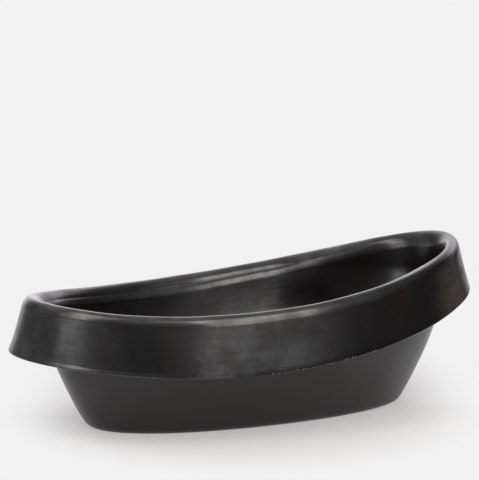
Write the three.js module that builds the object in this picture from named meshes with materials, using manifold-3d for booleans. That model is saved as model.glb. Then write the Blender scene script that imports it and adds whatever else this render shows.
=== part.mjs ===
// Long oval flower pot of dark burnished earthenware, modelled in millimetres with +Z up.
// It stands on Z = 0 with its origin under the middle, its length along X, and its higher end at +X.
// Hand-built in clay: a floor, a bowl side set round it, a thick rolled rim on the side's turned-out lip,
// and a flared collar that hangs from the rim, open underneath. Two hidden coils of clay back the joints.
import * as THREE from 'three';
import { mergeVertices } from 'three/addons/utils/BufferGeometryUtils.js';
import Module from 'manifold-3d';

const wasm = await Module();
wasm.setup();

// Foot of the bowl, at the outside of the wall where it meets the ground
const footHalfLength = 137;
const footHalfWidth = 57.5;
const footSquareShare = 0.085; // how much fuller than an ellipse the outline is
const footShift = -1.4; // the foot sits a little towards the lower end
const footEdgeRadius = 4;

// Side of the bowl, which leans outwards, less and less; carried on to this height it would stand upright
const uprightHeight = 105;
const uprightInset = 6; // and it would stand there this far inside the rim's crest
const bellyShare = 0.62; // 0 would be a straight slant
const wallThickness = 5.6;
const floorThickness = 10;

// Crest of the rim, the highest line all round; it climbs to both ends, and more to +X
const rimHalfLength = 182.6;
const rimHalfWidth = 94.8;
const rimHeight = 101.7;
const rimEndRise = 20.3;
const rimTiltRise = 16.3; // the +X end is lifted by this, the other end lowered by as much
const rimRiseShare = 0.12; // share of the rise kept for the very ends
const rimEggShare = 0.03; // how much wider the outline is towards +X

// Section of the rim, measured from its crest: two round flanks, cut by the seat under them
const rimOuterReach = 7.3; // half width and height of the ellipse that the outer flank follows
const rimOuterDrop = 12.3;
const rimInnerRadius = 9.2;
const seatDepth = 8;
const creaseDepth = 6.7; // the inner flank ends this far below the crest, in a crease over the shoulder

// Lip of the bowl that carries the rim
const lipDepth = 24;
const shoulderDepth = 13.5; // the inner face turns over to the crease from this far below the crest
const shoulderLean = Math.PI * 2 / 9; // its slope where it leaves the crease
const shoulderEnd = Math.PI * 4 / 9; // and where it meets the wall

// Collar, the flared band that hangs from the rim, down to its hem
const collarDrop = 45.9; // from the rim's crest down to the hem, halfway along the pot
const collarEndFlare = 10.1; // the hem stands this far out past the rim's shoulder at the ends
const collarSideFlare = 6.7; // and this far at the long sides
const hemExtraRise = 3.6; // the hem climbs this much more than the rim, so the collar narrows to the ends
const hemRiseShare = -0.16;
const collarThickness = 8;
const hemEdgeRadius = 1.4;
const beadReach = 0.7;
const beadHeight = 4.5;

// Coils of clay worked into the inside corner and under the rim
const cornerCoilReach = 12;
const cornerCoilEdge = 1.5; // its thickness where it runs out
const rootCoilTop = 5;
const rootCoilDepth = 10;

// Drain holes in the floor
const drainHoleDiameter = 13;
const drainHoleSpacing = 120;
const drainEdgeBevel = 1.5;

const seamGap = 0.3; // kept between pieces that were luted together
const cutOverrun = 5;

// Facets
const stepsAround = 72;
const stepsInArc = 5;
const stepsInSide = 7;

// Where the seat cuts the rim's two flanks, and how steeply the outer one leaves it, outwards for each unit down
const outerTurn = Math.acos(1 - seatDepth / rimOuterDrop);
const innerTurn = Math.acos(1 - creaseDepth / rimInnerRadius);
const shoulderReach = rimOuterReach * Math.sin(outerTurn);
const shoulderSlope = rimOuterReach / rimOuterDrop / Math.tan(outerTurn);
const creaseReach = rimInnerRadius * Math.sin(innerTurn);

const rimRing = {
  halfLength: rimHalfLength,
  halfWidth: rimHalfWidth,
  squareShare: 0,
  shift: 0,
  eggShare: rimEggShare,
  height: rimHeight,
  endRise: rimEndRise,
  riseShare: rimRiseShare,
  tiltRise: rimTiltRise,
};

const hemRing = {
  halfLength: rimHalfLength + rimOuterReach + collarEndFlare,
  halfWidth: rimHalfWidth + rimOuterReach + collarSideFlare,
  squareShare: 0,
  shift: 0,
  eggShare: 0,
  height: rimHeight - collarDrop,
  endRise: rimEndRise + hemExtraRise,
  riseShare: hemRiseShare,
  tiltRise: rimTiltRise,
};

const footRing = {
  halfLength: footHalfLength,
  halfWidth: footHalfWidth,
  squareShare: footSquareShare,
  shift: footShift,
  eggShare: 0,
  height: 0,
  endRise: 0,
  riseShare: 0,
  tiltRise: 0,
};

function mixRings(first, second, share) {
  const mixed = {};
  for (const field of Object.keys(first)) {
    mixed[field] = first[field] * (1 - share) + second[field] * share;
  }
  return mixed;
}

function growRing(ring, outwards, up) {
  return {
    ...ring,
    halfLength: ring.halfLength + outwards,
    halfWidth: ring.halfWidth + outwards,
    height: ring.height + up,
  };
}

// A point of a ring: a full ellipse in plan, raised towards its ends by a saddle and a tilt
function ringPoint(ring, angle) {
  const power = 1 / (1 + ring.squareShare);
  const along = Math.sign(Math.cos(angle)) * Math.abs(Math.cos(angle)) ** power;
  const across = Math.sign(Math.sin(angle)) * Math.abs(Math.sin(angle)) ** power;
  const saddle = (1 - ring.riseShare) * along ** 2 + ring.riseShare * along ** 4;
  return new THREE.Vector3(
    ring.shift + ring.halfLength * along,
    ring.halfWidth * across * (1 + ring.eggShare * along),
    ring.height + ring.tiltRise * along + ring.endRise * saddle,
  );
}

// A point of the bowl's side at a height, some way inside its outer face
function sidePoint(angle, height, inwards) {
  const left = Math.max(0, 1 - height / uprightHeight);
  const share = 1 - left ** (1 + bellyShare);
  const upright = growRing({ ...rimRing, height: 0, endRise: 0, tiltRise: 0 }, -uprightInset, 0);
  const ring = growRing(mixRings(footRing, upright, share), -inwards, 0);
  const point = ringPoint(ring, angle);
  return point.setZ(height);
}

// Height of the rim's crest less some depth
function heightBelowCrest(angle, depth) {
  return ringPoint(growRing(rimRing, 0, -depth), angle).z;
}

// A point between two points, with its own share of the way across and of the way up
function between(start, end, acrossShare, upShare) {
  return new THREE.Vector3(
    start.x + (end.x - start.x) * acrossShare,
    start.y + (end.y - start.y) * acrossShare,
    start.z + (end.z - start.z) * upShare,
  );
}

// Runs a function over shares from 0 to 1 in even steps
function overShares(steps, makePoint) {
  return Array.from({ length: steps + 1 }, (_, index) => makePoint(index / steps));
}

function quarter(share) {
  return (share * Math.PI) / 2;
}

function softStep(share) {
  return (1 - Math.cos(share * Math.PI)) / 2;
}

// Outer face of the lip, an easy S curve from the side out to the seat under the rim
function lipOuterPoint(angle, share, outwards) {
  const neck = sidePoint(angle, heightBelowCrest(angle, lipDepth), -outwards);
  const reach = shoulderReach - collarThickness - seamGap + outwards;
  const seat = ringPoint(growRing(rimRing, reach, -seatDepth - seamGap), angle);
  return between(neck, seat, softStep(share), share);
}

// Outer face of the collar: it leaves the rim's flank at that flank's slope and bends evenly down to the hem
function collarPoint(angle, share, inwards) {
  const shoulder = growRing(rimRing, shoulderReach, -seatDepth - seamGap);
  const ring = growRing(mixRings(shoulder, hemRing, share), -inwards, 0);
  const startOut = shoulderSlope * (collarDrop - seatDepth);
  for (const field of ['halfLength', 'halfWidth']) {
    const flare = hemRing[field] - shoulder[field];
    ring[field] = shoulder[field] + startOut * share + (flare - startOut) * share ** 2 - inwards;
  }
  return ringPoint(ring, angle);
}

// Skin of triangles through rows of points, each row closed on itself
function joinRows(rows, rowsClose) {
  const size = rows[0].length;
  const positions = rows.flatMap((row) => row.flatMap((point) => point.toArray()));
  const index = [];
  const lastRow = rowsClose ? rows.length : rows.length - 1;
  for (let row = 0; row < lastRow; row += 1) {
    const next = (row + 1) % rows.length;
    for (let place = 0; place < size; place += 1) {
      const after = (place + 1) % size;
      const [a, b, c, d] = [row * size + place, next * size + place, next * size + after, row * size + after];
      index.push(a, b, c, a, c, d);
    }
  }
  return { positions, index };
}

function toGeometry(positions, index) {
  const geometry = new THREE.BufferGeometry();
  geometry.setAttribute('position', new THREE.Float32BufferAttribute(positions, 3));
  geometry.setIndex(index);
  return geometry;
}

function angleAt(step) {
  return (step / stepsAround) * 2 * Math.PI;
}

// A closed band all round the pot: one section, anticlockwise with outwards to the right, at each angle
function bandGeometry(sectionAt) {
  const rows = Array.from({ length: stepsAround }, (_, step) => sectionAt(angleAt(step)));
  const { positions, index } = joinRows(rows, true);
  return toGeometry(positions, index);
}

// A closed slab: level rings from the bottom up, with a fan over each end
function slabGeometry(levels) {
  const rings = levels.map((pointAt) => Array.from({ length: stepsAround }, (_, step) => pointAt(angleAt(step))));
  const { positions, index } = joinRows(rings, false);
  const centreOf = (ring) => new THREE.Vector3(footShift, 0, ring[0].z);
  const [bottom, top] = [rings.length * stepsAround, rings.length * stepsAround + 1];
  positions.push(...centreOf(rings[0]).toArray(), ...centreOf(rings.at(-1)).toArray());
  const topStart = (rings.length - 1) * stepsAround;
  const flipped = [];
  for (let corner = 0; corner < index.length; corner += 3) {
    flipped.push(index[corner], index[corner + 2], index[corner + 1]);
  }
  for (let step = 0; step < stepsAround; step += 1) {
    const after = (step + 1) % stepsAround;
    flipped.push(bottom, after, step, top, topStart + step, topStart + after);
  }
  return toGeometry(positions, flipped);
}

function toSolid(geometry) {
  const bare = geometry.clone();
  bare.deleteAttribute('normal');
  bare.deleteAttribute('uv');
  const merged = mergeVertices(bare);
  return new wasm.Manifold(new wasm.Mesh({
    numProp: 3,
    vertProperties: Float32Array.from(merged.attributes.position.array),
    triVerts: Uint32Array.from(merged.index.array),
  }));
}

function fromSolid(solid) {
  const mesh = solid.getMesh();
  return toGeometry(Array.from(mesh.vertProperties), Array.from(mesh.triVerts));
}

// Fired clay in the two finishes of the pot
function burnishedClay() {
  return new THREE.MeshStandardMaterial({ color: 0x2b2a2b, roughness: 0.32, metalness: 0 });
}

function mattClay() {
  return new THREE.MeshStandardMaterial({ color: 0x363331, roughness: 0.75, metalness: 0 });
}

function piece(name, geometry, material) {
  const mesh = new THREE.Mesh(geometry, material);
  mesh.name = name;
  return mesh;
}

// Bowl side: up the outer face from a rounded foot, out along the lip, and down the inner face
function bowlWall() {
  const sectionAt = (angle) => {
    const neck = heightBelowCrest(angle, lipDepth);
    const turnOver = heightBelowCrest(angle, shoulderDepth);
    const edge = overShares(stepsInArc, (share) => {
      const turn = quarter(share);
      return sidePoint(angle, footEdgeRadius * (1 - Math.cos(turn)), footEdgeRadius * (1 - Math.sin(turn)));
    });
    const outer = overShares(stepsInSide, (share) => (
      sidePoint(angle, footEdgeRadius + (neck - footEdgeRadius) * share, 0)
    ));
    const lip = overShares(stepsInArc, (share) => lipOuterPoint(angle, share, 0));
    const crease = ringPoint(growRing(rimRing, -creaseReach, -creaseDepth - seamGap), angle);
    const innerTop = sidePoint(angle, turnOver, wallThickness);
    const shoulder = overShares(stepsInArc, (share) => {
      const turn = shoulderLean + (shoulderEnd - shoulderLean) * share;
      const across = (Math.sin(turn) - Math.sin(shoulderLean)) / (Math.sin(shoulderEnd) - Math.sin(shoulderLean));
      const down = (Math.cos(shoulderLean) - Math.cos(turn)) / (Math.cos(shoulderLean) - Math.cos(shoulderEnd));
      return between(crease, innerTop, across, down);
    });
    const inner = overShares(stepsInSide, (share) => sidePoint(angle, turnOver * (1 - share), wallThickness));
    return [...edge, ...outer.slice(1), ...lip.slice(1), ...shoulder, ...inner.slice(1)];
  };
  return piece('bowl_wall', bandGeometry(sectionAt), mattClay());
}

// Floor, set inside the foot of the bowl, with two drain holes with eased edges
function floorSlab() {
  const levels = [0, floorThickness / 2, floorThickness].map((height) => (
    (angle) => sidePoint(angle, height, wallThickness + seamGap)
  ));
  let solid = toSolid(slabGeometry(levels));
  const hole = drainHoleDiameter / 2;
  const flare = hole + drainEdgeBevel + cutOverrun;
  const profile = [
    new THREE.Vector2(0, -cutOverrun),
    new THREE.Vector2(flare, -cutOverrun),
    new THREE.Vector2(hole, drainEdgeBevel),
    new THREE.Vector2(hole, floorThickness - drainEdgeBevel),
    new THREE.Vector2(flare, floorThickness + cutOverrun),
    new THREE.Vector2(0, floorThickness + cutOverrun),
  ];
  for (const side of [-1, 1]) {
    const cutter = new THREE.LatheGeometry(profile, stepsAround / 3);
    cutter.rotateX(Math.PI / 2);
    cutter.translate(footShift + (side * drainHoleSpacing) / 2, 0, 0);
    solid = solid.subtract(toSolid(cutter));
  }
  return piece('floor_slab', fromSolid(solid), mattClay());
}

// Coil worked into the inside corner of floor and wall, its face pressed hollow with the thumb
function cornerCoil() {
  const ground = floorThickness + seamGap;
  const inset = wallThickness + seamGap;
  const sectionAt = (angle) => {
    const back = overShares(2, (share) => sidePoint(angle, ground + cornerCoilReach * share, inset));
    const foot = sidePoint(angle, ground, inset + cornerCoilReach);
    const top = sidePoint(angle, ground + cornerCoilReach, inset + cornerCoilEdge);
    const toe = foot.clone().setZ(ground + cornerCoilEdge);
    const hollow = new THREE.QuadraticBezierCurve3(top, back[0], toe);
    return [...back, ...hollow.getPoints(stepsInArc), foot];
  };
  return piece('inside_corner_coil', bandGeometry(sectionAt), burnishedClay());
}

// Rolled rim: round over the top, and flat below where it seats on the lip and the collar
function rimRoll() {
  const sectionAt = (angle) => {
    const at = (outwards, up) => ringPoint(growRing(rimRing, outwards, up), angle);
    const outer = overShares(stepsInArc, (share) => {
      const turn = outerTurn * (1 - share);
      return at(rimOuterReach * Math.sin(turn), rimOuterDrop * (Math.cos(turn) - 1));
    });
    const inner = overShares(stepsInArc, (share) => {
      const turn = innerTurn * share;
      return at(-rimInnerRadius * Math.sin(turn), rimInnerRadius * (Math.cos(turn) - 1));
    });
    const seat = at(shoulderReach - collarThickness, -seatDepth);
    return [...outer, ...inner.slice(1), seat];
  };
  return piece('rim_roll', bandGeometry(sectionAt), burnishedClay());
}

// Collar: down its inner face, round the hem, and up the flared outer face over a low bead
function collarSkirt() {
  const hemAt = (angle, inwards, up) => ringPoint(growRing(hemRing, -inwards, up), angle);
  const sectionAt = (angle) => {
    const topInner = ringPoint(growRing(rimRing, shoulderReach - collarThickness, -seatDepth - seamGap), angle);
    const innerHem = hemAt(angle, collarThickness, hemEdgeRadius);
    const inner = overShares(stepsInArc, (share) => {
      const face = collarPoint(angle, share, collarThickness);
      return face.setZ(topInner.z + (innerHem.z - topInner.z) * share);
    });
    const innerEdge = overShares(2, (share) => {
      const turn = quarter(share);
      const inwards = collarThickness - hemEdgeRadius * (1 - Math.cos(turn));
      return hemAt(angle, inwards, hemEdgeRadius * (1 - Math.sin(turn)));
    });
    const outerEdge = overShares(stepsInArc, (share) => {
      const turn = quarter(share);
      const inwards = (hemEdgeRadius + beadReach) * (1 - Math.sin(turn)) - beadReach * Math.sin(turn);
      return hemAt(angle, inwards, hemEdgeRadius * (1 - Math.cos(turn)));
    });
    const beadShare = 1 - beadHeight / (collarDrop - seatDepth);
    const outer = overShares(stepsInSide, (share) => collarPoint(angle, beadShare * (1 - share), 0));
    return [...inner, ...innerEdge.slice(1), ...outerEdge, ...outer];
  };
  return piece('collar_skirt', bandGeometry(sectionAt), burnishedClay());
}

// Coil pressed up into the narrow root between the lip and the collar
function collarRootCoil() {
  const lipHeight = lipDepth - seatDepth - seamGap;
  const sectionAt = (angle) => {
    const lipSide = (depth) => lipOuterPoint(angle, 1 - depth / lipHeight, seamGap);
    const collarSide = (depth) => {
      const top = ringPoint(growRing(rimRing, 0, -seatDepth - seamGap), angle);
      const bottom = ringPoint(growRing(hemRing, 0, hemEdgeRadius), angle);
      const share = depth / (top.z - bottom.z);
      return collarPoint(angle, share, collarThickness + seamGap).setZ(top.z - depth);
    };
    const down = overShares(3, (share) => lipSide(rootCoilTop + (rootCoilDepth - rootCoilTop) * share));
    const up = overShares(2, (share) => collarSide(rootCoilDepth - (rootCoilDepth - rootCoilTop) * share));
    return [...down, ...up];
  };
  return piece('collar_root_coil', bandGeometry(sectionAt), mattClay());
}

const flowerPot = new THREE.Group();
flowerPot.add(floorSlab(), bowlWall(), cornerCoil(), rimRoll(), collarSkirt(), collarRootCoil());

export default flowerPot;
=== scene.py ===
"""Long oval flower pot of black burnished earthenware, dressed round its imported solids, in metres."""
import math

import bpy
import numpy as np
from mathutils import Matrix, Vector


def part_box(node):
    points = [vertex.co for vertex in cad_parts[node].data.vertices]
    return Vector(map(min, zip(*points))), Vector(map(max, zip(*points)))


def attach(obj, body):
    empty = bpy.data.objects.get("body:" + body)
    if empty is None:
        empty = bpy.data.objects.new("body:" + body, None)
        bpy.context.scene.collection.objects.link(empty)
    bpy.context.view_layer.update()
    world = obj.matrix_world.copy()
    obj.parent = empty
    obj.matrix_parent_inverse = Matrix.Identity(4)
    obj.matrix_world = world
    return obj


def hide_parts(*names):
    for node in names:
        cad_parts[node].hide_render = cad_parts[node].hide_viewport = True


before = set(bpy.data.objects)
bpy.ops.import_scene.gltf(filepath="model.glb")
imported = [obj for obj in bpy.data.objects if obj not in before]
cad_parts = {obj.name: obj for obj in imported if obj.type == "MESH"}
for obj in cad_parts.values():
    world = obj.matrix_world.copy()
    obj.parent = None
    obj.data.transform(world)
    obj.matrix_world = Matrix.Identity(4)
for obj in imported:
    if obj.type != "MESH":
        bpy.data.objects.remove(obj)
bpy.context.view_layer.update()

# Floor slab: the flat floor of the pot, with two drain holes cut through it while the clay was soft.
# It is smoked earthenware, smoothed with a wet hand and left matt. Its solid has the right shape and stays.


def linear(code):
    """An sRGB hex colour as linear red, green, blue and alpha.

    A part v is v / 12.92 up to 0.04045, and above that (v + 0.055) / 1.055 to the power 2.4.
    """
    parts = np.array([int(code[start:start + 2], 16) / 255 for start in (1, 3, 5)])
    values = np.where(parts <= 0.04045, parts / 12.92, ((parts + 0.055) / 1.055) ** 2.4)
    return (*values.tolist(), 1.0)


def add_node(tree, kind, inputs=None, **settings):
    """Adds a node with its own settings, and fills each input with a value or another node's output."""
    made = tree.nodes.new(kind)
    for name, value in settings.items():
        setattr(made, name, value)
    for key, value in (inputs or {}).items():
        if isinstance(value, bpy.types.NodeSocket):
            tree.links.new(value, made.inputs[key])
        else:
            made.inputs[key].default_value = value
    return made


def new_material(name):
    """An empty node material, with its tree and its output node."""
    material = bpy.data.materials.new(name)
    material.use_nodes = True
    tree = material.node_tree
    tree.nodes.clear()
    return material, tree, add_node(tree, "ShaderNodeOutputMaterial")


def smoked_matt_earthenware():
    """Low-fired clay, blackened in smoke: a dull, faintly warm skin, mottled where a wet hand wiped it."""
    hand_mark = 0.045  # length of the wiping marks
    grain = 0.0011  # fine temper in the clay
    grain_height = 0.00012
    material, tree, output = new_material("smoked_matt_earthenware")
    place = add_node(tree, "ShaderNodeTexCoord").outputs["Object"]
    wiped = add_node(tree, "ShaderNodeTexNoise", {"Vector": place, "Scale": 1 / hand_mark, "Detail": 4.0})
    speckle = add_node(tree, "ShaderNodeTexNoise", {"Vector": place, "Scale": 1 / grain, "Detail": 2.0})
    colour = add_node(tree, "ShaderNodeMix", {
        0: wiped.outputs["Fac"], 6: linear("#15110f"), 7: linear("#201918")}, data_type="RGBA")
    rough = add_node(tree, "ShaderNodeMapRange", {
        "Value": wiped.outputs["Fac"], "From Min": 0.3, "From Max": 0.7, "To Min": 0.28, "To Max": 0.36})
    bump = add_node(tree, "ShaderNodeBump", {
        "Height": speckle.outputs["Fac"], "Strength": 0.25, "Distance": grain_height})
    clay = add_node(tree, "ShaderNodeBsdfPrincipled", {
        "Base Color": colour.outputs[2], "Roughness": rough.outputs["Result"], "IOR": 1.5,
        "Normal": bump.outputs["Normal"]})
    tree.links.new(clay.outputs["BSDF"], output.inputs["Surface"])
    return material


matt_clay = smoked_matt_earthenware()
floor_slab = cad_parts["floor_slab"]
floor_slab.data.materials.clear()
floor_slab.data.materials.append(matt_clay)

# Bowl wall: the side of the bowl, set round the floor and leaning out until it stands upright near the top.
# Its outside is the same matt smoked clay. Its inside and the shoulder under the rim were rubbed with a
# smooth stone to a satin black. The wall ends in a lip that turns out to carry the rim.

steps_around = 480
around = np.linspace(0, 2 * np.pi, steps_around, endpoint=False)[None, :]
along = np.cos(around)  # 1 at the pot's higher end and -1 at its lower end
seat_depth = 0.008  # the rim's roll is cut this far below its crest where lip and collar meet it
crease_depth = 0.0067  # and this far below at its inner crease
outer_reach = 0.0073  # half width and height of the ellipse that the roll's outer flank follows
outer_drop = 0.0123
inner_radius = 0.0092  # the roll's inner flank is round
outer_turn = math.acos(1 - seat_depth / outer_drop)
inner_turn = math.acos(1 - crease_depth / inner_radius)
shoulder_reach = outer_reach * math.sin(outer_turn)
crease_reach = inner_radius * math.sin(inner_turn)
rim_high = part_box("rim_roll")[1]
rim_rise = 0.0203
rim_tilt = 0.0163
# A ring is an oval all round the pot. square fills out its corners and egg its higher end, shift moves it
# to +X, rise lifts both ends, and tilt lifts the higher end and lowers the other.
crest = {"half_length": rim_high.x - shoulder_reach, "half_width": 0.0948, "square": 0, "shift": 0,
         "egg": 0.03, "height": rim_high.z - rim_rise - rim_tilt, "rise": rim_rise, "end_share": 0.12,
         "tilt": rim_tilt}
foot = {"half_length": 0.137, "half_width": 0.0575, "square": 0.085, "shift": -0.0014, "egg": 0,
        "height": 0, "rise": 0, "end_share": 0, "tilt": 0}
foot_edge = 0.004
upright_height = 0.105  # from here up the wall is upright
upright_inset = 0.0060  # and its outside stands this far inside the crest
belly_share = 0.62
wall_thickness = 0.0056
lip_depth = 0.024  # the wall starts to turn out into the lip this far below the crest
shoulder_depth = 0.0135  # the inner shoulder ends this far below it
shoulder_lean = math.radians(40)  # the inner shoulder's slope where it leaves the crease
shoulder_end = math.radians(80)  # and where it meets the wall
collar_thickness = 0.008


def mixed(first, second, share):
    """Each field of a ring between two rings: first * (1 - share) + second * share."""
    return {field: first[field] * (1 - share) + second[field] * share for field in first}


def grown(ring, outwards, up):
    """A ring moved outwards in plan and up."""
    return {**ring, "half_length": ring["half_length"] + outwards,
            "half_width": ring["half_width"] + outwards, "height": ring["height"] + up}


def ring_points(ring):
    """Points all round a ring: x = shift + half length * a, and y = half width * b * (1 + egg * a).

    a and b are the cosine and sine to the power 1 / (1 + square). z is the height plus tilt * a plus the
    rise times a mix of a squared and a to the fourth.
    """
    power = 1 / (1 + ring["square"])
    a = np.sign(along) * np.abs(along) ** power
    b = np.sign(np.sin(around)) * np.abs(np.sin(around)) ** power
    z = ring["height"] + ring["tilt"] * a + ring["rise"] * (
        (1 - ring["end_share"]) * a ** 2 + ring["end_share"] * a ** 4)
    x = ring["shift"] + ring["half_length"] * a
    y = ring["half_width"] * b * (1 + ring["egg"] * a)
    return np.stack(np.broadcast_arrays(x, y, z), axis=-1)


def side_points(height, inwards):
    """Points of the bowl's side: the foot's ring mixed into the upright ring under the crest.

    The share of the upright ring is 1 - (1 - height / upright height) to the power 1 + belly.
    """
    share = 1 - np.maximum(0, 1 - height / upright_height) ** (1 + belly_share)
    upright = {**grown(crest, -upright_inset, 0), "height": 0, "rise": 0, "tilt": 0}
    points = ring_points(grown(mixed(foot, upright, share), -inwards, 0))
    points[..., 2] = height
    return points


def shares(steps):
    """A column of even shares from 0 to 1, one for each row of points."""
    return np.linspace(0, 1, steps + 1)[:, None]


def soft_step(value, start, width):
    """A share s that eases from 0 at start to 1 a width further on: 3 * s squared - 2 * s cubed."""
    share = np.clip((value - start) / width, 0, 1)
    return share * share * (3 - 2 * share)


def between(start, end, across, up):
    """Points between two rows, with one share of the way across and another of the way up."""
    way = np.stack(np.broadcast_arrays(across, across, up), axis=-1)
    return start + (end - start) * way


# The unevenness that a hand leaves: waves of these lengths, and how far each one pushes the clay.
waves = np.random.default_rng(11)
wave_length = np.array([0.095, 0.061, 0.047, 0.036, 0.029, 0.022])
wave_height = np.array([0.00030, 0.00018, 0.00012, 0.00008, 0.00005, 0.00003])
wave_turn = waves.uniform(0, 2 * np.pi, wave_length.size)
wave_way = waves.normal(size=(wave_length.size, 3))
wave_push = waves.normal(size=(wave_length.size, 3))
true_height = 0.01  # the waves grow from nothing at the ground to their full height here


def by_hand(points):
    """Points pushed a little off the true shape, as a hand leaves them: a sum of sine waves of place."""
    way = wave_way / np.linalg.norm(wave_way, axis=1, keepdims=True) / wave_length[:, None]
    push = wave_push / np.linalg.norm(wave_push, axis=1, keepdims=True) * wave_height[:, None]
    moved = np.sin(2 * np.pi * points @ way.T + wave_turn) @ push
    return points + moved * np.clip(points[..., 2:] / true_height, 0, 1)


def build_band(name, rows, materials, material_rows=None, sharp_rows=(), worn=None):
    """A closed band of clay: rows of points all round, each joined to the next and the last to the first.

    The vertex attribute rubbed lays the surface flat on a round drum of the crest's girth, for marks that
    run round the pot: radius * cosine, radius * sine and the length along the section. The attribute worn
    holds a share for each point.
    """
    points = by_hand(np.concatenate(rows))
    count, size = points.shape[:2]
    row, place = np.meshgrid(np.arange(count), np.arange(size), indexing="ij")
    next_row, next_place = (row + 1) % count, (place + 1) % size
    corners = np.stack([row * size + place, row * size + next_place, next_row * size + next_place,
                        next_row * size + place], axis=-1).reshape(-1, 4)
    mesh = bpy.data.meshes.new(name)
    mesh.from_pydata(points.reshape(-1, 3), [], corners)
    mesh.polygons.foreach_set("use_smooth", np.ones(len(corners), bool))
    if material_rows is not None:
        mesh.polygons.foreach_set("material_index", np.repeat(material_rows, size).astype(np.int32))
    edges = np.empty(len(mesh.edges) * 2, np.int32)
    mesh.edges.foreach_get("vertices", edges)
    edge_rows = edges.reshape(-1, 2) // size
    sharp = (edge_rows[:, 0] == edge_rows[:, 1]) & np.isin(edge_rows[:, 0], sharp_rows)
    mesh.attributes.new("sharp_edge", "BOOLEAN", "EDGE").data.foreach_set("value", sharp)
    girth = ring_points(crest)[0]
    step = np.linalg.norm(np.roll(girth, -1, axis=0) - girth, axis=1)
    turn = 2 * np.pi * np.concatenate([[0], np.cumsum(step)[:-1]]) / step.sum()
    radius = step.sum() / (2 * np.pi)
    length = np.concatenate([[0], np.cumsum(np.linalg.norm(np.diff(points, axis=0), axis=2).mean(axis=1))])
    rubbed = np.stack(np.broadcast_arrays(radius * np.cos(turn)[None, :], radius * np.sin(turn)[None, :],
                                          length[:, None]), axis=-1)
    mesh.attributes.new("rubbed", "FLOAT_VECTOR", "POINT").data.foreach_set("vector", rubbed.ravel())
    if worn is not None:
        mesh.attributes.new("worn", "FLOAT", "POINT").data.foreach_set("value", worn.ravel())
    for material in materials:
        mesh.materials.append(material)
    made = bpy.data.objects.new(name, mesh)
    bpy.context.collection.objects.link(made)
    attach(made, "root")
    return made


def burnished_earthenware(name, smoothest, roughest, sheen, weather=None):
    """Clay rubbed with a stone while leather-hard, then smoked black: a cloudy satin gloss, level strokes.

    The stone pressed harder in some clouds than in others, which gives less roughness and more sheen there.
    A weather function may change the colour and the sheen.
    """
    stroke_length = 0.05
    stroke_width = 0.0035
    stroke_height = 0.0003
    stroke_share = 0.2  # the strokes show less than the clouds
    cloud = 0.024  # patches where the stone pressed more or less
    flash = 0.050  # brown flashes where the smoke thinned in the fire
    grit = 0.0016
    grit_height = 0.00005
    most_pressed = 0.48
    least_pressed = 0.72
    sheen_swing = 0.35
    material, tree, output = new_material(name)
    rubbed = add_node(tree, "ShaderNodeAttribute", attribute_name="rubbed").outputs["Vector"]
    place = add_node(tree, "ShaderNodeTexCoord").outputs["Object"]
    stroke_scale = (1 / stroke_length, 1 / stroke_length, 1 / stroke_width)
    stroked = add_node(tree, "ShaderNodeVectorMath", {0: rubbed, 1: stroke_scale}, operation="MULTIPLY")
    strokes = add_node(tree, "ShaderNodeTexNoise", {
        "Vector": stroked.outputs[0], "Scale": 1.0, "Detail": 3.0}).outputs["Fac"]
    clouds = add_node(tree, "ShaderNodeTexNoise", {
        "Vector": place, "Scale": 1 / cloud, "Detail": 5.0, "Roughness": 0.6}).outputs["Fac"]
    flashes = add_node(tree, "ShaderNodeTexNoise", {"Vector": place, "Scale": 1 / flash, "Detail": 2.0})
    grits = add_node(tree, "ShaderNodeTexNoise", {"Vector": place, "Scale": 1 / grit, "Detail": 2.0})
    black = add_node(tree, "ShaderNodeMix", {
        0: clouds, 6: linear("#050505"), 7: linear("#161413")}, data_type="RGBA")
    flashed = add_node(tree, "ShaderNodeMapRange", {
        "Value": flashes.outputs["Fac"], "From Min": 0.52, "From Max": 0.7, "To Max": 0.3})
    brown = add_node(tree, "ShaderNodeMix", {
        0: flashed.outputs["Result"], 6: black.outputs[2], 7: linear("#1d1411")}, data_type="RGBA")
    colour = brown.outputs[2]
    pressed = add_node(tree, "ShaderNodeMath", {
        0: strokes, 1: stroke_share, 2: clouds}, operation="MULTIPLY_ADD")
    rough = add_node(tree, "ShaderNodeMapRange", {
        "Value": pressed.outputs[0], "From Min": most_pressed, "From Max": least_pressed,
        "To Min": smoothest, "To Max": roughest})
    film = add_node(tree, "ShaderNodeMapRange", {
        "Value": pressed.outputs[0], "From Min": most_pressed, "From Max": least_pressed,
        "To Min": sheen * (1 + sheen_swing), "To Max": sheen * (1 - sheen_swing)}).outputs["Result"]
    low = add_node(tree, "ShaderNodeBump", {"Height": strokes, "Strength": 0.1, "Distance": stroke_height})
    fine = add_node(tree, "ShaderNodeBump", {
        "Height": grits.outputs["Fac"], "Strength": 0.2, "Distance": grit_height,
        "Normal": low.outputs["Normal"]})
    if weather:
        colour, film = weather(tree, place, clouds, colour, film)
    clay = add_node(tree, "ShaderNodeBsdfPrincipled", {
        "Base Color": colour, "Roughness": rough.outputs["Result"], "Specular IOR Level": film, "IOR": 1.65,
        "Normal": fine.outputs["Normal"]})
    tree.links.new(clay.outputs["BSDF"], output.inputs["Surface"])
    return material


burnished_clay = burnished_earthenware(
    "burnished_earthenware", smoothest=0.13, roughest=0.22, sheen=0.5)
rubbed_inside = burnished_earthenware(
    "burnished_earthenware_inside", smoothest=0.16, roughest=0.26, sheen=0.56)

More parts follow.
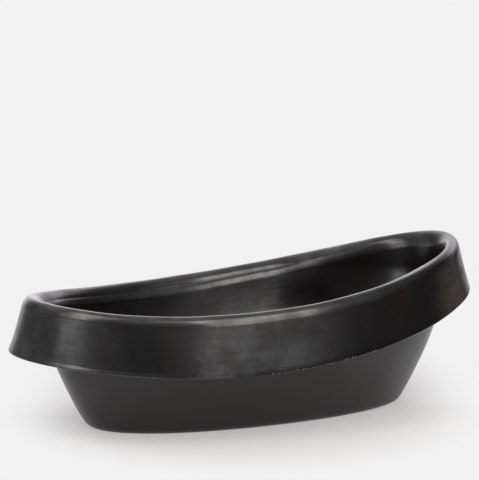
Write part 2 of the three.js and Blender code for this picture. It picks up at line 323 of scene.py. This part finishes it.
neck_height = ring_points(grown(crest, 0, -lip_depth))[..., 2]
edge_turn = shares(6) * np.pi / 2
wall_edge = side_points(foot_edge * (1 - np.cos(edge_turn)), foot_edge * (1 - np.sin(edge_turn)))
wall_outer = side_points(foot_edge + (neck_height - foot_edge) * shares(40)[1:], 0)
wall_seat = ring_points(grown(crest, shoulder_reach - collar_thickness, -seat_depth))
lip_share = shares(12)[1:]
wall_lip = between(side_points(neck_height, 0), wall_seat, (1 - np.cos(lip_share * np.pi)) / 2, lip_share)

# Under the rim the wall is fuller to the right of its middle, and thinner round the inside of the higher
# end. Towards both ends the roll was smeared down over the shoulder, so the crease dies out there.
most_full = 0.0024
most_thinned = 0.0034
fuller = most_full * soft_step(along, 0.26, 0.30) - most_full * soft_step(along, 0.62, 0.25)
thinner = most_thinned * soft_step(along, 0.66, 0.32)
smeared = soft_step(along, 0.28, 0.26) + soft_step(-along, 0.22, 0.3)
top_thickness = wall_thickness + fuller - thinner


def smeared_share(depth):
    """How far the smeared clay has come from crest to wall at a depth below the crest.

    It is the square root of 1 - (1 - depth / shoulder depth) squared.
    """
    return np.sqrt(1 - (1 - depth / shoulder_depth) ** 2)


def inner_reach(round_reach, depth):
    """How far inside the crest the roll stands: its round reach, mixed into the smeared one at the ends."""
    smeared_reach = (upright_inset + top_thickness) * smeared_share(depth)
    return round_reach + (smeared_reach - round_reach) * smeared


shoulder_turn = shoulder_lean + shares(20) * (shoulder_end - shoulder_lean)
shoulder_across = (np.sin(shoulder_turn) - math.sin(shoulder_lean)) / (
    math.sin(shoulder_end) - math.sin(shoulder_lean))
shoulder_down = (math.cos(shoulder_lean) - np.cos(shoulder_turn)) / (
    math.cos(shoulder_lean) - math.cos(shoulder_end))
crease_share = smeared_share(crease_depth)
smeared_across = smeared_share(crease_depth + (shoulder_depth - crease_depth) * shoulder_down)
smeared_across = (smeared_across - crease_share) / (1 - crease_share)
shoulder_across = shoulder_across + (smeared_across - shoulder_across) * smeared
wall_crease = ring_points(grown(crest, -inner_reach(crease_reach, crease_depth), -crease_depth))
turn_over = ring_points(grown(crest, 0, -shoulder_depth))[..., 2]
wall_shoulder = between(wall_crease, side_points(turn_over, top_thickness), shoulder_across, shoulder_down)

# Down the wall the fuller clay turns into a shallow hollow and dies out, and the thinner stretch fades.
hollow_place_share = 0.45
hollow_depth_share = 0.4
down_wall = shares(60)[1:]
fuller_down = np.cos(np.pi * np.clip(down_wall / hollow_place_share, 0, 1))
fuller_down = (1 - hollow_depth_share + (1 + hollow_depth_share) * fuller_down) / 2
fuller_down = fuller_down * (1 - soft_step(down_wall, hollow_place_share, 0.35))
thinner_down = 1 - soft_step(down_wall, 0.4, 0.5)
wall_inner = side_points(turn_over * (1 - down_wall),
                         wall_thickness + fuller * fuller_down - thinner * thinner_down)
outside_count = len(wall_edge) + len(wall_outer) + len(wall_lip)
wall_count = outside_count + len(wall_shoulder) + len(wall_inner)
wall_row = np.arange(wall_count)
bowl_wall = build_band(
    "bowl_side", [wall_edge, wall_outer, wall_lip, wall_shoulder, wall_inner],
    [matt_clay, rubbed_inside], material_rows=(wall_row >= outside_count) & (wall_row < wall_count - 1),
    sharp_rows=(0, outside_count - 1, outside_count, wall_count - 1))
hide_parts("bowl_wall")

# Inside corner coil: a thin coil of clay worked into the corner of floor and wall, which seals the joint.
# It is burnished with the inside of the bowl, and its face is hollow where a thumb ran round it.

floor_thickness = 0.010
coil_reach = 0.012
coil_edge = 0.0015
coil_back = side_points(floor_thickness + coil_reach * shares(6), wall_thickness)
coil_top = side_points(floor_thickness + coil_reach, wall_thickness + coil_edge)
coil_foot = side_points(floor_thickness, wall_thickness + coil_reach)
coil_toe = coil_foot + np.array([0, 0, coil_edge])
thumb = shares(14)[..., None]
coil_face = coil_top * (1 - thumb) ** 2 + coil_back[:1] * 2 * thumb * (1 - thumb) + coil_toe * thumb ** 2
back_count = len(coil_back)
corner_coil = build_band("corner_coil", [coil_back, coil_face, coil_foot],
                         [rubbed_inside], sharp_rows=(0, back_count - 1, back_count + len(coil_face)))
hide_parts("inside_corner_coil")

# Rim roll: a thick coil of clay laid on the lip and rolled round over the top with a wet leather.
# It climbs to both ends, more to the higher one, and ends inside in a fine crease over the shoulder.

outer_turns = outer_turn * (1 - shares(24))
outer_depth = outer_drop * (1 - np.cos(outer_turns))
roll_outer = ring_points(grown(crest, outer_reach * np.sin(outer_turns), -outer_depth))
inner_turns = inner_turn * shares(28)[1:]
inner_depth = inner_radius * (1 - np.cos(inner_turns))
inner_reaches = inner_reach(inner_radius * np.sin(inner_turns), inner_depth)
roll_inner = ring_points(grown(crest, -inner_reaches, -inner_depth))
roll_count = len(roll_outer) + len(roll_inner)
rim_roll = build_band("rolled_rim", [roll_outer, roll_inner, wall_seat],
                      [burnished_clay], sharp_rows=(0, roll_count - 1, roll_count))
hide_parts("rim_roll")

# Collar: a wide flared band of clay hung from the rim, open underneath, with a low bead along its hem.
# It was burnished outside in long level strokes. One patch at the higher end was scorched brown by the
# fire, and handling has worn a stretch of the hem's lower edge to bare clay.

hem_drop = 0.0459  # from the crest down to the hem, where neither rises
hem_extra_rise = 0.0036
hem = {"half_length": 0.2, "half_width": 0.1088, "square": 0, "shift": 0, "egg": 0,
       "height": crest["height"] - hem_drop, "rise": rim_rise + hem_extra_rise, "end_share": -0.16,
       "tilt": rim_tilt}
hem_edge = 0.0014
bead_reach = 0.0007
bead_height = 0.0045
bead_turn = math.radians(208)  # the bead stands out most here, near the low end
bead_lost_share = 0.97  # and has lost this much of its reach elsewhere
hand_turn = math.radians(275)  # the middle of the stretch that hands have worn
spared_share = 0.25  # of the wear, elsewhere
collar_drop = hem_drop - seat_depth
shoulder_slope = outer_reach / outer_drop / math.tan(outer_turn)
shoulder_ring = grown(crest, shoulder_reach, -seat_depth)


def collar_points(share, outwards):
    """The collar's face: the shoulder's ring mixed into the hem's, at the roll's own slope on top.

    Each half axis is the shoulder's plus slope * drop * s plus the rest of the flare times s squared.
    """
    ring = mixed(shoulder_ring, hem, share)
    start = shoulder_slope * collar_drop
    for field in ("half_length", "half_width"):
        flare = hem[field] - shoulder_ring[field]
        ring[field] = shoulder_ring[field] + start * share + (flare - start) * share ** 2 + outwards
    return ring_points(ring)


def scorched_and_worn(tree, place, clouds, colour, film):
    """A brown patch with a ragged border where the flame licked the clay, and pale specks on the worn hem.

    The worn hem has also lost most of its sheen.
    """
    flame_place = (0.156, -0.066, 0.092)  # at the hem, in front of the higher end
    flame_core = 0.024
    flame_reach = 0.054
    flame_ragged = 0.03  # the clouds push the border in and out by up to this much
    speck = 0.0012
    distance = add_node(tree, "ShaderNodeVectorMath", {0: place, 1: flame_place}, operation="DISTANCE")
    ragged = add_node(tree, "ShaderNodeMath", {
        0: clouds, 1: flame_ragged, 2: distance.outputs["Value"]}, operation="MULTIPLY_ADD")
    scorched = add_node(tree, "ShaderNodeMapRange", {
        "Value": ragged.outputs[0], "From Min": flame_core, "From Max": flame_reach,
        "To Min": 0.6, "To Max": 0.0})
    brown = add_node(tree, "ShaderNodeMix", {
        0: scorched.outputs["Result"], 6: colour, 7: linear("#3b2822")}, data_type="RGBA")
    specks = add_node(tree, "ShaderNodeTexNoise", {"Vector": place, "Scale": 1 / speck, "Detail": 2.0})
    worn = add_node(tree, "ShaderNodeAttribute", attribute_name="worn").outputs["Fac"]
    chance = add_node(tree, "ShaderNodeMath", {0: specks.outputs["Fac"], 1: worn}, operation="MULTIPLY")
    bare = add_node(tree, "ShaderNodeMapRange", {
        "Value": chance.outputs[0], "From Min": 0.52, "From Max": 0.58, "To Max": 0.6})
    specked = add_node(tree, "ShaderNodeMix", {
        0: bare.outputs["Result"], 6: brown.outputs[2], 7: linear("#8a8580")}, data_type="RGBA")
    dulled = add_node(tree, "ShaderNodeMapRange", {
        "Value": worn, "To Min": 1.0, "To Max": 0.25}).outputs["Result"]
    dull_film = add_node(tree, "ShaderNodeMath", {0: film, 1: dulled}, operation="MULTIPLY")
    return specked.outputs[2], dull_film.outputs[0]


worn_clay = burnished_earthenware("burnished_earthenware_worn_at_the_edge", smoothest=0.14, roughest=0.27,
                                  sheen=0.49, weather=scorched_and_worn)
hem_inner_ring = ring_points(grown(hem, -collar_thickness, hem_edge))
collar_inner = collar_points(shares(16), -collar_thickness)
collar_inner[..., 2] = wall_seat[..., 2] + (hem_inner_ring[..., 2] - wall_seat[..., 2]) * shares(16)
hem_inner_turn = shares(5)[1:] * np.pi / 2
collar_under = ring_points(grown(hem, -collar_thickness + hem_edge * (1 - np.cos(hem_inner_turn)),
                                 hem_edge * (1 - np.sin(hem_inner_turn))))
from_bead = (1 - np.cos(around - bead_turn)) / 2  # 0 where the bead stands out most, 1 across the pot
bead = bead_reach * (1 - bead_lost_share * soft_step(from_bead, 0, 0.125))
edge_share = hem_edge / collar_drop
hem_top = collar_points(1 - edge_share, bead * (1 + np.cos(np.pi * hem_edge / bead_height)) / 2)
hem_bottom = ring_points(grown(hem, -hem_edge, 0))
hem_turn = shares(10) * np.pi / 2
collar_edge = between(hem_bottom, hem_top, np.sin(hem_turn), 1 - np.cos(hem_turn))
collar_share = (1 - edge_share) * (1 - shares(60)[1:])
above_hem = np.clip((1 - collar_share) * collar_drop / bead_height, 0, 1)
collar_outer = collar_points(collar_share, bead * (1 + np.cos(np.pi * above_hem)) / 2)
edge_start = len(collar_inner) + len(collar_under)
collar_count = edge_start + len(collar_edge) + len(collar_outer)
worn_row = edge_start + 7  # wear is full on the few rows next to this one, and fades over some more
full_rows = 2.4
fading_rows = 8
from_worn_row = np.abs(np.arange(collar_count) - worn_row)[:, None]
handled = spared_share + (1 - spared_share) * soft_step(np.cos(around - hand_turn), 0.9, 0.08)
edge_wear = np.clip(1 - (from_worn_row - full_rows) / fading_rows, 0, 1) * handled
collar = build_band("hanging_collar", [collar_inner, collar_under, collar_edge, collar_outer],
                    [worn_clay], sharp_rows=(0, collar_count - 1), worn=edge_wear)
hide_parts("collar_skirt")

# Collar root coil: a coil of clay pressed up with a finger into the narrow root between lip and collar.
# It is hidden from above and left matt, and it holds the collar out from the bowl.

root_top = 0.005  # the coil fills the root from this far below the roll's seat
root_depth = 0.010  # to this far below it
root_height = lip_depth - seat_depth
root_down = root_top + (root_depth - root_top) * shares(6)
root_share = 1 - root_down / root_height
root_lip = between(side_points(neck_height, 0), wall_seat, (1 - np.cos(root_share * np.pi)) / 2, root_share)
root_up = root_depth - (root_depth - root_top) * shares(6)
root_drop = wall_seat[..., 2] - ring_points(grown(hem, 0, hem_edge))[..., 2]
root_collar = collar_points(root_up / root_drop, -collar_thickness)
root_collar[..., 2] = wall_seat[..., 2] - root_up
lip_count = len(root_lip)
root_coil = build_band("root_coil", [root_lip, root_collar], [matt_clay],
                       sharp_rows=(0, lip_count - 1, lip_count, lip_count + len(root_collar) - 1))
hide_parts("collar_root_coil")

# Camera: it stands low in front of the pot, a little to the left. It is turned so that the point above the
# pot's middle comes to its place in the picture.

camera_turn = -0.42739
camera_rise = 0.2
camera_distance = 1.2
aim_height = 0.060
image_height = 480
focus_pixels = 1463.49
aim_pixel = (249.703, 337.694)
image_centre = (239.5, 240.0)


def direction(turn, rise):
    """A direction away from the pot: (sin turn * cos rise, -cos turn * cos rise, sin rise)."""
    return Vector((math.sin(turn) * math.cos(rise), -math.cos(turn) * math.cos(rise), math.sin(rise)))


camera_back = direction(camera_turn, camera_rise)
camera_place = Vector((0, 0, aim_height)) + camera_back * camera_distance
pan_off = math.atan((aim_pixel[0] - image_centre[0]) / focus_pixels)
tilt_off = math.atan((aim_pixel[1] - image_centre[1]) / focus_pixels)
pan = math.atan2(-camera_back.y, -camera_back.x) + pan_off
tilt = math.asin(-camera_back.z) + tilt_off
forward = Vector((math.cos(pan) * math.cos(tilt), math.sin(pan) * math.cos(tilt), math.sin(tilt)))
rightwards = forward.cross(Vector((0, 0, 1))).normalized()
upwards = rightwards.cross(forward)
camera_data = bpy.data.cameras.new("camera")
camera_data.sensor_width = 36  # millimetres, as the lens is
camera_data.lens = camera_data.sensor_width * focus_pixels / image_height
camera = bpy.data.objects.new("camera", camera_data)
camera_axes = Matrix((rightwards, upwards, -forward)).transposed().to_4x4()
camera.matrix_world = Matrix.Translation(camera_place) @ camera_axes
bpy.context.collection.objects.link(camera)
bpy.context.scene.camera = camera

# Floor: a studio sweep, painted matt white. It shows in a pool round the pot, where it takes the shadow,
# which a painted glow of the backdrop's colour lightens, and fades into the pale backdrop.

ahead = Vector((-camera_back.x, -camera_back.y, 0)).normalized()
aside = Vector((ahead.y, -ahead.x, 0))
backdrop = linear("#f1f1f1")
floor_far = 6.0
floor_near = 0.42  # the sweep ends this far in front of the pot and to its right, outside the picture
floor_mesh = bpy.data.meshes.new("studio_floor")
floor_mesh.from_pydata([-ahead * floor_near - aside * floor_far, aside * floor_near - ahead * floor_near,
                        aside * floor_near + ahead * floor_far, ahead * floor_far - aside * floor_far],
                       [], [(0, 1, 2, 3)])
floor = bpy.data.objects.new("studio_floor", floor_mesh)
bpy.context.collection.objects.link(floor)


def painted_sweep():
    """Matt white paint that shows the backdrop's glow to the eye and in gloss, and only that past the pool.
    In the pool a share of it is that glow too: painted light that lightens the pot's shadow.

    The way out from the pool's middle is the length of two parts. One is the place to the right. The other
    is the larger of the place in front and the place behind, each times its squeeze, the latter less a gap.
    """
    pool_left = 0.004  # the pool's middle lies this far to the left of the pot's
    front_squeeze = 1.05
    back_squeeze = 0.6
    back_gap = 0.07
    pool_start = 0.125
    pool_end = 0.205
    # even in the pool this share of the floor, as the eye sees it, is the backdrop's glow: painted light on
    # the shadow
    shadow_glow = 0.39
    material, tree, output = new_material("painted_sweep")
    place = add_node(tree, "ShaderNodeTexCoord").outputs["Object"]
    right = add_node(tree, "ShaderNodeVectorMath", {0: place, 1: aside}, operation="DOT_PRODUCT")
    right = add_node(tree, "ShaderNodeMath", {0: right.outputs["Value"], 1: pool_left}, operation="ADD")
    depth = add_node(tree, "ShaderNodeVectorMath", {
        0: place, 1: ahead}, operation="DOT_PRODUCT").outputs["Value"]
    before = add_node(tree, "ShaderNodeMath", {0: depth, 1: -front_squeeze}, operation="MULTIPLY")
    behind = add_node(tree, "ShaderNodeMath", {
        0: depth, 1: back_squeeze, 2: -back_gap}, operation="MULTIPLY_ADD")
    front = add_node(tree, "ShaderNodeMath", {
        0: before.outputs[0], 1: behind.outputs[0]}, operation="MAXIMUM")
    flat = add_node(tree, "ShaderNodeCombineXYZ", {"X": right.outputs[0], "Y": front.outputs[0]})
    reach = add_node(tree, "ShaderNodeVectorMath", {0: flat.outputs[0]}, operation="LENGTH")
    far = add_node(tree, "ShaderNodeMapRange", {
        "Value": reach.outputs["Value"], "From Min": pool_start, "From Max": pool_end, "To Min": shadow_glow},
        interpolation_type="SMOOTHSTEP")
    path = add_node(tree, "ShaderNodeLightPath")
    seen = add_node(tree, "ShaderNodeMath", {
        0: path.outputs["Is Camera Ray"], 1: path.outputs["Is Glossy Ray"]}, operation="MAXIMUM")
    fade = add_node(tree, "ShaderNodeMath", {
        0: far.outputs["Result"], 1: seen.outputs[0]}, operation="MULTIPLY")
    paint = add_node(tree, "ShaderNodeBsdfDiffuse", {"Color": linear("#e8e6e5")})
    pale = add_node(tree, "ShaderNodeEmission", {"Color": backdrop})
    both = add_node(tree, "ShaderNodeMixShader", {
        0: fade.outputs[0], 1: paint.outputs[0], 2: pale.outputs[0]})
    tree.links.new(both.outputs[0], output.inputs["Surface"])
    return material


floor_mesh.materials.append(painted_sweep())

# Lamps: two upright softboxes in front of the pot, to the left and to the right, both a little warm.

softbox_tint = (1.08, 1.0, 0.92)
softbox_distance = 1.3


def add_softbox(name, turn, rise, width, height, brightness):
    """An upright softbox facing the pot, its turn counted from the camera's side. White is brightness 1."""
    lamp = bpy.data.lights.new(name, "AREA")
    lamp.shape = "RECTANGLE"
    lamp.size = width
    lamp.size_y = height
    lamp.color = softbox_tint
    lamp.energy = brightness * math.pi * width * height
    way = direction(camera_turn + math.radians(turn), math.radians(rise))
    facing = way.to_track_quat("Z", "Y").to_matrix().to_4x4()
    made = bpy.data.objects.new(name, lamp)
    made.matrix_world = Matrix.Translation(way * softbox_distance) @ facing
    made.visible_camera = False
    bpy.context.collection.objects.link(made)


add_softbox("left_softbox", turn=-45, rise=45, width=0.48, height=0.90, brightness=2.35)
add_softbox("right_softbox", turn=34, rise=43, width=0.70, height=0.98, brightness=2.7)

# Studio room: what the gloss of the clay mirrors. Its brightness goes by the bearing, which is counted from
# the camera's side, and by the height. The eye sees the plain backdrop instead.

world = bpy.data.worlds.new("studio")
bpy.context.scene.world = world
world.use_nodes = True
studio = world.node_tree
studio.nodes.clear()
look = add_node(studio, "ShaderNodeTexCoord").outputs["Generated"]
height_share = add_node(studio, "ShaderNodeSeparateXYZ", {0: look}).outputs["Z"]
to_camera = add_node(studio, "ShaderNodeVectorMath", {0: look, 1: -ahead}, operation="DOT_PRODUCT")
to_the_right = add_node(studio, "ShaderNodeVectorMath", {0: look, 1: aside}, operation="DOT_PRODUCT")
bearing = add_node(studio, "ShaderNodeMath", {
    0: to_the_right.outputs["Value"], 1: to_camera.outputs["Value"]}, operation="ARCTAN2")
round_share = add_node(studio, "ShaderNodeMapRange", {
    "Value": bearing.outputs[0], "From Min": -math.pi, "From Max": math.pi}).outputs["Result"]
backdrop_from = 135  # the backdrop starts this many degrees away from the camera's side
backdrop_violet = 0.03


def brightness_round(stops):
    """Brightness by bearing: straight lines between stops of degrees and brightness."""
    ramp = add_node(studio, "ShaderNodeValToRGB", {0: round_share})
    elements = ramp.color_ramp.elements
    elements.remove(elements[1])
    for number, (degrees, level) in enumerate(stops):
        share = 0.5 + degrees / 360
        element = elements[0] if number == 0 else elements.new(share)
        element.position = share
        violet = backdrop_violet if abs(degrees) > backdrop_from else 0.0
        element.color = (level * (1 + violet / 2), level * (1 - violet), level * (1 + violet / 2), 1)
    return ramp.outputs["Color"]


def risen(start, end):
    """A share that eases from 0 to 1 between two heights, each the sine of the angle above the ground."""
    return add_node(studio, "ShaderNodeMapRange", {
        "Value": height_share, "From Min": start, "From Max": end},
        interpolation_type="SMOOTHSTEP").outputs["Result"]


# Low down: the backdrop behind, a pale wall and a low softbox on the left, a dark room at the camera, a low
# softbox on the right, and a black flag beyond it.
low = brightness_round((
    (-180, 1.5), (-146, 1.4), (-132, 0.4), (-118, 0.3), (-100, 0.42), (-75, 0.4), (-57, 0.5), (-51, 2.0),
    (-39, 2.0), (-29, 0.45), (-22, 0.25), (-10, 0.12), (12, 0.08), (18, 1.0), (23, 1.5), (31, 1.05),
    (44, 0.7), (51, 0.5), (57, 0.22), (64, 0.1), (100, 0.06), (112, 0.22), (127, 0.25), (134, 0.08),
    (138, 0.1), (146, 0.5), (155, 0.75), (168, 0.8), (180, 1.5)))
# Higher up: a lit band of the backdrop behind, and walls that are dimmer over the camera and to the right.
high = brightness_round((
    (-180, 1.4), (-160, 1.7), (-148, 1.2), (-136, 0.6), (-122, 0.4), (-75, 0.5), (-58, 0.5), (-20, 0.3),
    (0, 0.2), (20, 0.4), (62, 0.5), (84, 0.12), (118, 0.04), (128, 0.4), (138, 1.9), (160, 1.8),
    (180, 1.4)))
# Near the ceiling: dim on the right and behind it, where a black cloth hangs.
upper = brightness_round((
    (-180, 0.9), (-150, 1.1), (-120, 0.9), (-90, 0.8), (-20, 0.6), (20, 0.9), (60, 0.8), (84, 0.35),
    (112, 0.15), (150, 0.35), (168, 0.6), (180, 0.9)))
ceiling = (0.85, 0.85, 0.85, 1)
walls = add_node(studio, "ShaderNodeMix", {0: risen(0.12, 0.5), 6: low, 7: high}, data_type="RGBA")
walls = add_node(studio, "ShaderNodeMix", {
    0: risen(0.52, 0.74), 6: walls.outputs[2], 7: upper}, data_type="RGBA")
room = add_node(studio, "ShaderNodeMix", {
    0: risen(0.82, 0.96), 6: walls.outputs[2], 7: ceiling}, data_type="RGBA")
ray = add_node(studio, "ShaderNodeLightPath")
lit_room = add_node(studio, "ShaderNodeBackground", {"Color": room.outputs[2]})
plain_room = add_node(studio, "ShaderNodeBackground", {"Color": backdrop})
clear_ray = add_node(studio, "ShaderNodeMath", {
    0: ray.outputs["Is Camera Ray"], 1: ray.outputs["Is Transmission Ray"]}, operation="MAXIMUM")
everything = add_node(studio, "ShaderNodeMixShader", {
    0: clear_ray.outputs[0], 1: lit_room.outputs[0], 2: plain_room.outputs[0]})
add_node(studio, "ShaderNodeOutputWorld", {"Surface": everything.outputs[0]})
bpy.context.scene.view_settings.view_transform = "Standard"
